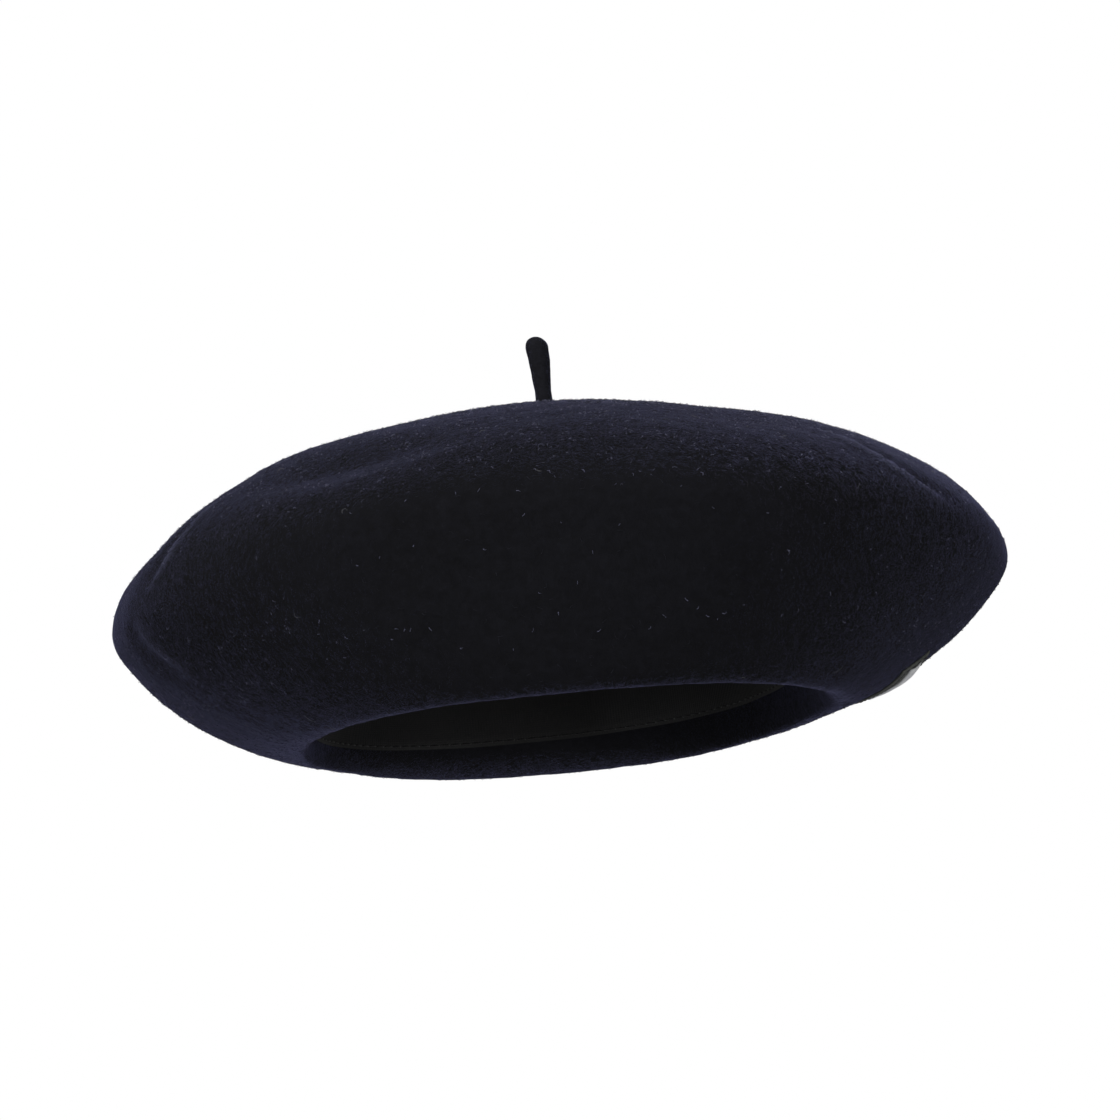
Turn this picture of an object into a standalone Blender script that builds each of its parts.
"""A round felt beret, held up as if worn, with its opening facing down.

Frame: the origin is the centre of the head opening, +Z up, -Y the front, +X the wearer's left.
Every length is in metres. Each physical piece is one closed solid in its own object.
"""
import math

import bmesh
import bpy
from mathutils import Vector

# ---- Driving sizes ------------------------------------------------------------------------------
EQUATOR_X = 0.1425           # half width of the beret where it is widest
EQUATOR_Y = 0.1400           # half depth there
EQUATOR_Z = 0.0395           # height of the widest line at the front and back
EQUATOR_DROP_SIDES = 0.0063  # the widest line hangs lower at both sides
EQUATOR_DROP_RIGHT = 0.0064  # and lower still at +X
CROWN_Z = 0.0905             # top of the crown
CROWN_SHIFT = 0.0060         # the crown and the widest line sit this far to +X of the opening
CROWN_POWER_LEFT = 1.84      # superellipse power of the crown's section at -X
CROWN_POWER_RIGHT = 1.68     # and at +X, where the edge is sharper
CROWN_POWER_FLATTER = 0.12   # the power is this much less at the front and back
UNDER_POWER_LEFT = 1.56      # superellipse power of the section under the widest line
UNDER_POWER_RIGHT = 1.42
LOW_X_FRONT = 0.0854         # half width of the soft roll's lowest line at the front
LOW_X_BACK = 0.0744          # and at the back, where it is narrower
LOW_Y = 0.1245
LOW_BACK_POWER = 1.3         # how late, going round, the back's shape sets in
LOW_Z = -0.0094              # height of that lowest line at the back left
LOW_DROP_FRONT = 0.0048      # the roll hangs a little lower at the front
LOW_DROP_RIGHT = 0.0048      # and on the right
LOW_RISE_BACK = 0.0010       # and a little higher at the sides of its back half
RIM_X = 0.0780               # half width of the head opening at the felt's edge, where z is 0
RIM_Y = 0.1030
OPENING_POWER = 2.4          # superellipse power of the roll and of the opening
FELT = 0.0026                # felt thickness

CLEAR = 0.0003               # gap kept between neighbouring solids
FACET = 0.0003               # more gap where two pieces have differently placed facets

STALK_SHIFT = 0.0069         # the stalk and its hole sit this far to +X of the opening
STALK_LENGTH = 0.0268        # from the crown's surface to the stalk's tip
STALK_ROOT_R = 0.0016        # the stalk's shank where it passes through the crown
STALK_FOOT_R = 0.0025
STALK_HEAD_R = 0.0039
STALK_PIVOT = 0.0030         # height of the bend above the crown
STALK_START = 0.0019         # distance of the stalk's foot from the bend
CROWN_HOLE_R = 0.0020
BUTTON_R = 0.0070            # felt button that anchors the stalk inside the crown
BUTTON_T = 0.0022
BUTTON_GAP = 0.0008          # between the button and the crown's inner face
TACK_REACH = 0.0036          # middle radius of the lobed tack of thread
TACK_LOBE = 0.0013           # how far its lobes swing from that radius

BAND_BOTTOM = -0.0025        # the sweatband overlaps the felt's edge by this much
BAND_TOP = 0.0220
BAND_T = 0.0012
BAND_STITCH_Z = -0.0012      # height of the stitches that hold the band to the felt
SPLICE_BOTTOM = 0.0008       # the ribbon tab over the band's join
SPLICE_HALF = 0.0090
SPLICE_T = 0.0008
SPLICE_ANGLE = math.radians(-90)

CARE_ANGLE = math.radians(-120)  # place of the care label on the band
CARE_WIDTH = 0.0260
CARE_LENGTH = 0.0160
CARE_T = 0.0008
CARE_HINGE_Z = 0.0185
CARE_STITCH_Z = 0.0016           # the stitches' middle, above the hinge
CARE_STITCH_HALF = 0.0007        # half height of their loop
CARE_STITCH_CORNER = 0.0006

MARK_ANGLE = math.radians(-16)   # centre of the label on the outside
MARK_TURN = math.radians(60)     # how far round the under section it sits
MARK_TILT = math.radians(22)     # its far end is turned this much down the section
MARK_LENGTH = 0.0360             # along the rim
MARK_HEIGHT = 0.0120             # along the section
MARK_T = 0.0006

THREAD_R = 0.00035
THREAD_STEP = 0.0045         # longest straight stretch of thread on a curved face
STITCH_CORNER = 0.0012       # corner radius of the sewn rectangles
SPLICE_MARGIN = 0.0018       # from the tab's edge to its stitches
CARE_MARGIN = 0.0015         # from the care label's side to the ends of its stitches
MARK_MARGIN = 0.0012         # from the outside label's edge to its stitches

SEGMENTS = 48                # facets round the beret
CROWN_RINGS = 9
UNDER_RINGS = 7
LIP_RINGS = 3
THREAD_SIDES = 5
SHARP_EDGE = math.radians(40)    # faces that meet at more than this are shaded as an edge

# ---- Colours (linear RGB) -----------------------------------------------------------------------
FELT_COLOUR = (0.012, 0.012, 0.020)
BAND_COLOUR = (0.006, 0.006, 0.008)
THREAD_COLOUR = (0.010, 0.010, 0.014)
MARK_COLOUR = (0.020, 0.021, 0.019)
CARE_COLOUR = (0.55, 0.55, 0.53)


# ---- The felt's section -------------------------------------------------------------------------
def mix(low, high, share):
    return low + (high - low) * share


def oval(half_x, half_y, power, angle):
    """Radius of a superellipse at an angle."""
    across = (abs(math.cos(angle)) / half_x) ** power
    along = (abs(math.sin(angle)) / half_y) ** power
    return (across + along) ** (-1 / power)


class Section:
    """The felt's cut at one angle round the beret, inset inwards from its outer face."""

    def __init__(self, angle, inset=0.0):
        right = 0.5 * (1 + math.cos(angle))
        front = 0.5 * (1 - math.sin(angle))
        sideways = math.cos(angle) ** 2
        back = (1 - front) ** LOW_BACK_POWER
        self.angle = angle
        self.crown_power = mix(CROWN_POWER_LEFT, CROWN_POWER_RIGHT, right)
        self.crown_power -= CROWN_POWER_FLATTER * (1 - sideways)
        self.under_power = mix(UNDER_POWER_LEFT, UNDER_POWER_RIGHT, right)
        self.top_z = CROWN_Z - inset
        self.wide_r = oval(EQUATOR_X, EQUATOR_Y, 2, angle) - inset
        self.wide_z = EQUATOR_Z - EQUATOR_DROP_SIDES * sideways - EQUATOR_DROP_RIGHT * right
        self.low_r = oval(mix(LOW_X_FRONT, LOW_X_BACK, back), LOW_Y, OPENING_POWER, angle)
        self.low_z = LOW_Z - LOW_DROP_FRONT * front - LOW_DROP_RIGHT * right
        self.low_z += LOW_RISE_BACK * sideways * back + inset
        self.rim_r = oval(RIM_X, RIM_Y, OPENING_POWER, angle) + inset

    def place(self, reach, height, shift):
        x = reach * math.cos(self.angle) + shift
        return Vector((x, reach * math.sin(self.angle), height))

    def crown(self, turn):
        """Turn 0 is the top of the crown and a quarter turn is the widest line."""
        reach = self.wide_r * math.sin(turn) ** (2 / self.crown_power)
        lift = max(math.cos(turn), 0.0) ** (2 / self.crown_power)
        shift = mix(STALK_SHIFT, CROWN_SHIFT, math.sin(turn))
        return self.place(reach, mix(self.wide_z, self.top_z, lift), shift)

    def under(self, turn):
        """Turn 0 is the widest line and a quarter turn is the lowest line of the roll."""
        out = max(math.cos(turn), 0.0) ** (2 / self.under_power)
        down = math.sin(turn) ** (2 / self.under_power)
        reach = mix(self.low_r, self.wide_r, out)
        return self.place(reach, mix(self.wide_z, self.low_z, down), CROWN_SHIFT * (1 - down))

    def lip(self, turn):
        """Turn 0 is the lowest line and a quarter turn is the felt's edge."""
        reach = mix(self.low_r, self.rim_r, math.sin(turn))
        return self.place(reach, self.low_z * math.cos(turn), 0.0)

    def hole_turn(self):
        """The turn at which the crown meets the stalk's hole."""
        return math.asin((CROWN_HOLE_R / self.wide_r) ** (self.crown_power / 2))


def section_points(angle, inset):
    """Points of one cut, from the stalk's hole to the felt's edge."""
    cut = Section(angle, inset)
    quarter = math.pi / 2
    start = cut.hole_turn()
    points = [cut.crown(mix(start, quarter, i / CROWN_RINGS)) for i in range(CROWN_RINGS)]
    points += [cut.under(quarter * i / UNDER_RINGS) for i in range(UNDER_RINGS)]
    points += [cut.lip(quarter * i / LIP_RINGS) for i in range(LIP_RINGS + 1)]
    return points


def under_face(angle, turn, lift):
    """A point lifted off the outer face under the widest line, along its normal."""
    step = 1e-4
    middle = Section(angle).under(turn)
    along = Section(angle + step).under(turn) - Section(angle - step).under(turn)
    down = Section(angle).under(turn + step) - Section(angle).under(turn - step)
    normal = down.cross(along).normalized()
    return middle + normal * lift


# ---- Mesh helpers -------------------------------------------------------------------------------
def material(name, colour, roughness):
    made = bpy.data.materials.new(name)
    made.use_nodes = True
    shader = made.node_tree.nodes["Principled BSDF"]
    shader.inputs["Base Color"].default_value = (*colour, 1.0)
    shader.inputs["Roughness"].default_value = roughness
    shader.inputs["Metallic"].default_value = 0.0
    return made


def add_object(name, points, faces, look, origin=Vector((0, 0, 0))):
    """Make one closed solid, its faces turned outwards, with its object's origin at a point."""
    mesh = bpy.data.meshes.new(name)
    mesh.from_pydata([tuple(point - origin) for point in points], [], faces)
    work = bmesh.new()
    work.from_mesh(mesh)
    bmesh.ops.recalc_face_normals(work, faces=work.faces)
    work.to_mesh(mesh)
    work.free()
    mesh.materials.append(look)
    mesh.shade_smooth()
    mesh.set_sharp_from_angle(angle=SHARP_EDGE)
    made = bpy.data.objects.new(name, mesh)
    made.location = origin
    bpy.context.scene.collection.objects.link(made)
    return made


def grid_faces(rows, columns, first=0, closed_rows=False, closed_columns=False):
    """Quads of a grid of points that is stored row by row."""
    faces = []
    for i in range(rows if closed_rows else rows - 1):
        for j in range(columns if closed_columns else columns - 1):
            a = first + i * columns + j
            b = first + i * columns + (j + 1) % columns
            c = first + ((i + 1) % rows) * columns + (j + 1) % columns
            d = first + ((i + 1) % rows) * columns + j
            faces.append((a, b, c, d))
    return faces


def ring_solid(rows, columns, place):
    """A solid closed both ways round, such as a ring of any cross-section."""
    points = [place(i, j) for i in range(rows) for j in range(columns)]
    return points, grid_faces(rows, columns, closed_rows=True, closed_columns=True)


def plate_solid(rows, columns, outer, inner):
    """A thin curved plate between two grids of points, with walls round its edge."""
    points = [outer(i, j) for i in range(rows) for j in range(columns)]
    points += [inner(i, j) for i in range(rows) for j in range(columns)]
    size = rows * columns
    faces = grid_faces(rows, columns) + grid_faces(rows, columns, size)
    edge = list(range(columns))
    edge += [i * columns + columns - 1 for i in range(1, rows)]
    edge += [(rows - 1) * columns + j for j in range(columns - 2, -1, -1)]
    edge += [i * columns for i in range(rows - 2, 0, -1)]
    for here, there in zip(edge, edge[1:] + edge[:1]):
        faces.append((there, here, here + size, there + size))
    return points, faces


def turned_solid(profile, sides):
    """A solid turned about the stalk's line from (radius, height) pairs, lowest first."""

    def place(radius, angle, height):
        return Vector((STALK_SHIFT + radius * math.cos(angle), radius * math.sin(angle), height))

    points = []
    for radius, height in profile[1:-1]:
        points += [place(radius, math.tau * i / sides, height) for i in range(sides)]
    rows = len(profile) - 2
    faces = grid_faces(rows, sides, closed_columns=True)
    low = len(points)
    points += [place(0, 0, height) for radius, height in (profile[0], profile[-1])]
    last = (rows - 1) * sides
    for i in range(sides):
        after = (i + 1) % sides
        faces.append((low, after, i))
        faces.append((low + 1, last + i, last + after))
    return points, faces


def thread_solid(path):
    """A round thread along a closed loop of points."""
    count = len(path)
    middle = sum(path, Vector()) / count
    points = []
    for i, here in enumerate(path):
        along = (path[(i + 1) % count] - path[i - 1]).normalized()
        out = (here - middle)
        out = (out - along * out.dot(along)).normalized()
        side = along.cross(out)
        for j in range(THREAD_SIDES):
            angle = math.tau * j / THREAD_SIDES
            points.append(here + (out * math.cos(angle) + side * math.sin(angle)) * THREAD_R)
    return points, grid_faces(count, THREAD_SIDES, closed_rows=True, closed_columns=True)


def round_box_loop(half_u, half_v, corner, spacing):
    """Points round a rounded rectangle as (u, v) pairs, its straight sides cut by the spacing."""
    corners = []
    for quarter, (sign_u, sign_v) in enumerate(((1, 1), (-1, 1), (-1, -1), (1, -1))):
        for share in (0.0, 0.5, 1.0):
            angle = (quarter + share) * math.pi / 2
            u = sign_u * (half_u - corner) + corner * math.cos(angle)
            v = sign_v * (half_v - corner) + corner * math.sin(angle)
            corners.append((u, v))
    pairs = []
    for here, there in zip(corners, corners[1:] + corners[:1]):
        steps = max(1, round(math.dist(here, there) / spacing))
        pairs += [(mix(here[0], there[0], i / steps), mix(here[1], there[1], i / steps))
                  for i in range(steps)]
    return pairs


# ---- The beret's pieces -------------------------------------------------------------------------
def felt_shell(look):
    outer = len(section_points(0.0, 0.0))

    def place(i, j):
        angle = math.tau * i / SEGMENTS
        side = section_points(angle, 0.0) + section_points(angle, FELT)[::-1]
        return side[j]

    points, faces = ring_solid(SEGMENTS, 2 * outer, place)
    return add_object("felt_shell", points, faces, look)


def stalk_root(look):
    """The shank in the crown's hole, with the button inside the crown that anchors it."""
    top = CROWN_Z + STALK_PIVOT - STALK_START
    button_top = CROWN_Z - FELT - BUTTON_GAP
    button_bottom = button_top - BUTTON_T
    round_off = BUTTON_T / 3
    profile = [
        (0, button_bottom),
        (BUTTON_R - round_off, button_bottom),
        (BUTTON_R, button_bottom + round_off),
        (BUTTON_R, button_top - round_off),
        (BUTTON_R - round_off, button_top),
        (STALK_ROOT_R, button_top),
        (STALK_ROOT_R, top),
        (0, top),
    ]
    points, faces = turned_solid(profile, 20)
    return add_object("stalk_root", points, faces, look)


def stalk_pivot():
    return Vector((STALK_SHIFT, 0, CROWN_Z + STALK_PIVOT))


def stalk_neck(look):
    """The short stretch that bends, as a ball at the bend."""
    pivot = stalk_pivot()
    rings = 6
    radius = STALK_START - CLEAR
    profile = []
    for i in range(rings + 1):
        angle = math.pi * i / rings
        profile.append((radius * math.sin(angle), pivot.z - radius * math.cos(angle)))
    points, faces = turned_solid(profile, 12)
    return add_object("stalk_neck", points, faces, look, pivot)


def stalk(look):
    """The club-shaped stalk, narrow at its foot and rounded at its head."""
    foot = CROWN_Z + STALK_PIVOT + STALK_START
    tip = CROWN_Z + STALK_LENGTH
    shoulder = tip - STALK_HEAD_R
    profile = [(0, foot), (STALK_FOOT_R, foot)]
    swell = 4
    for i in range(1, swell + 1):
        share = i / swell
        ease = share * share * (3 - 2 * share)
        profile.append((mix(STALK_FOOT_R, STALK_HEAD_R, ease), mix(foot, shoulder, share)))
    cap = 4
    for i in range(1, cap + 1):
        angle = math.pi / 2 * i / cap
        radius = max(STALK_HEAD_R * math.cos(angle), 0)
        profile.append((radius, shoulder + STALK_HEAD_R * math.sin(angle)))
    points, faces = turned_solid(profile, 16)
    return add_object("stalk", points, faces, look, stalk_pivot())


def stalk_thread(look):
    """Four-lobed tack of thread that sews the button to the crown, seen from inside."""
    height = CROWN_Z - FELT - BUTTON_GAP - BUTTON_T - CLEAR - THREAD_R
    count = 32
    path = []
    for i in range(count):
        angle = math.tau * i / count
        reach = TACK_REACH + TACK_LOBE * math.cos(4 * angle)
        x = STALK_SHIFT + reach * math.cos(angle)
        path.append(Vector((x, reach * math.sin(angle), height)))
    points, faces = thread_solid(path)
    return add_object("stalk_thread", points, faces, look)


def band_point(angle, inset, height):
    """A point a given distance inwards of the felt's edge."""
    reach = oval(RIM_X, RIM_Y, OPENING_POWER, angle) - inset
    return Vector((reach * math.cos(angle), reach * math.sin(angle), height))


def band_angle(start, distance):
    """The angle reached by going a distance round the band's inner face."""
    reach = oval(RIM_X, RIM_Y, OPENING_POWER, start) - CLEAR - BAND_T
    return start + distance / reach


def sweatband(look):
    corners = (
        (CLEAR, BAND_BOTTOM),
        (CLEAR, BAND_TOP),
        (CLEAR + BAND_T, BAND_TOP),
        (CLEAR + BAND_T, BAND_BOTTOM),
    )

    def place(i, j):
        inset, height = corners[j]
        return band_point(math.tau * i / SEGMENTS, inset, height)

    points, faces = ring_solid(SEGMENTS, len(corners), place)
    return add_object("sweatband", points, faces, look)


def sweatband_thread(look):
    inset = CLEAR + BAND_T + CLEAR + FACET + THREAD_R
    path = [band_point(math.tau * i / SEGMENTS, inset, BAND_STITCH_Z) for i in range(SEGMENTS)]
    points, faces = thread_solid(path)
    return add_object("sweatband_thread", points, faces, look)


def splice_inset():
    return CLEAR + BAND_T + CLEAR + FACET


def sweatband_splice(look):
    """The ribbon tab that covers the place where the sweatband's ends meet."""
    columns = 7

    def place(inset, i, j):
        distance = SPLICE_HALF * (2 * j / (columns - 1) - 1)
        height = mix(SPLICE_BOTTOM, BAND_TOP - CLEAR, i)
        return band_point(band_angle(SPLICE_ANGLE, distance), inset, height)

    near = splice_inset()
    points, faces = plate_solid(
        2, columns,
        lambda i, j: place(near, i, j),
        lambda i, j: place(near + SPLICE_T, i, j))
    return add_object("sweatband_splice", points, faces, look)


def splice_thread(look):
    inset = splice_inset() + SPLICE_T + CLEAR + THREAD_R
    middle = (SPLICE_BOTTOM + BAND_TOP) / 2
    half_u = SPLICE_HALF - SPLICE_MARGIN
    half_v = (BAND_TOP - SPLICE_BOTTOM) / 2 - SPLICE_MARGIN
    path = []
    for u, v in round_box_loop(half_u, half_v, STITCH_CORNER, THREAD_STEP):
        path.append(band_point(band_angle(SPLICE_ANGLE, u), inset, middle + v))
    points, faces = thread_solid(path)
    return add_object("splice_thread", points, faces, look)


def care_frame():
    """Hinge point, direction along the label's sewn edge, and direction into the head space."""
    step = 1e-4
    before = band_point(CARE_ANGLE - step, 0, 0)
    after = band_point(CARE_ANGLE + step, 0, 0)
    along = (after - before).normalized()
    inwards = Vector((0, 0, 1)).cross(along)
    half = CARE_WIDTH / 2
    ends = [band_point(band_angle(CARE_ANGLE, side * half), splice_inset(), CARE_HINGE_Z)
            for side in (-1, 1)]
    middle = band_point(CARE_ANGLE, splice_inset(), CARE_HINGE_Z)
    bow = max((end - middle).dot(inwards) for end in ends)
    return middle + inwards * (bow + CARE_T / 2), along, inwards


def care_label(look):
    """A small folded label that hangs from its sewn top edge."""
    hinge, along, inwards = care_frame()
    drop = Vector((0, 0, -1))

    def place(side, i, j):
        across = along * CARE_WIDTH * (j - 0.5)
        return hinge + across + drop * CARE_LENGTH * i + inwards * CARE_T * side

    points, faces = plate_solid(
        2, 2, lambda i, j: place(0.5, i, j), lambda i, j: place(-0.5, i, j))
    return add_object("care_label", points, faces, look, hinge)


def care_label_thread(look):
    """Stitches just above the label's free part."""
    hinge, along, inwards = care_frame()
    middle = hinge + Vector((0, 0, CARE_STITCH_Z))
    half = CARE_WIDTH / 2 - CARE_MARGIN
    loop = round_box_loop(half, CARE_STITCH_HALF, CARE_STITCH_CORNER, THREAD_STEP)
    path = [middle + along * u + Vector((0, 0, v)) for u, v in loop]
    points, faces = thread_solid(path)
    return add_object("care_label_thread", points, faces, look)


def mark_place(u, v, lift):
    """A point on the outside label: u along its length and v down it."""
    reach = Section(MARK_ANGLE).under(MARK_TURN).xy.length
    section_radius = (EQUATOR_X - LOW_X_FRONT + EQUATOR_Z - LOW_Z) / 2
    round_way = u * math.cos(MARK_TILT) - v * math.sin(MARK_TILT)
    down_way = u * math.sin(MARK_TILT) + v * math.cos(MARK_TILT)
    return under_face(MARK_ANGLE + round_way / reach, MARK_TURN + down_way / section_radius, lift)


def side_label(look):
    rows, columns = 5, 9

    def place(lift, i, j):
        u = MARK_LENGTH * (j / (columns - 1) - 0.5)
        v = MARK_HEIGHT * (i / (rows - 1) - 0.5)
        return mark_place(u, v, lift)

    points, faces = plate_solid(
        rows, columns,
        lambda i, j: place(CLEAR + MARK_T, i, j),
        lambda i, j: place(CLEAR, i, j))
    return add_object("side_label", points, faces, look)


def side_label_thread(look):
    lift = CLEAR + MARK_T + CLEAR + THREAD_R
    path = []
    half_u = MARK_LENGTH / 2 - MARK_MARGIN
    half_v = MARK_HEIGHT / 2 - MARK_MARGIN
    for u, v in round_box_loop(half_u, half_v, STITCH_CORNER, THREAD_STEP):
        path.append(mark_place(u, v, lift))
    points, faces = thread_solid(path)
    return add_object("side_label_thread", points, faces, look)


def build():
    for old in list(bpy.data.objects):
        bpy.data.objects.remove(old, do_unlink=True)
    felt = material("wool_felt", FELT_COLOUR, 0.95)
    ribbon = material("grosgrain_ribbon", BAND_COLOUR, 0.75)
    thread = material("sewing_thread", THREAD_COLOUR, 0.60)
    woven = material("woven_label", MARK_COLOUR, 0.70)
    satin = material("satin_label", CARE_COLOUR, 0.50)
    felt_shell(felt)
    stalk_root(felt)
    stalk_neck(felt)
    stalk(felt)
    stalk_thread(thread)
    sweatband(ribbon)
    sweatband_thread(thread)
    sweatband_splice(ribbon)
    splice_thread(thread)
    care_label(satin)
    care_label_thread(thread)
    side_label(woven)
    side_label_thread(thread)


build()
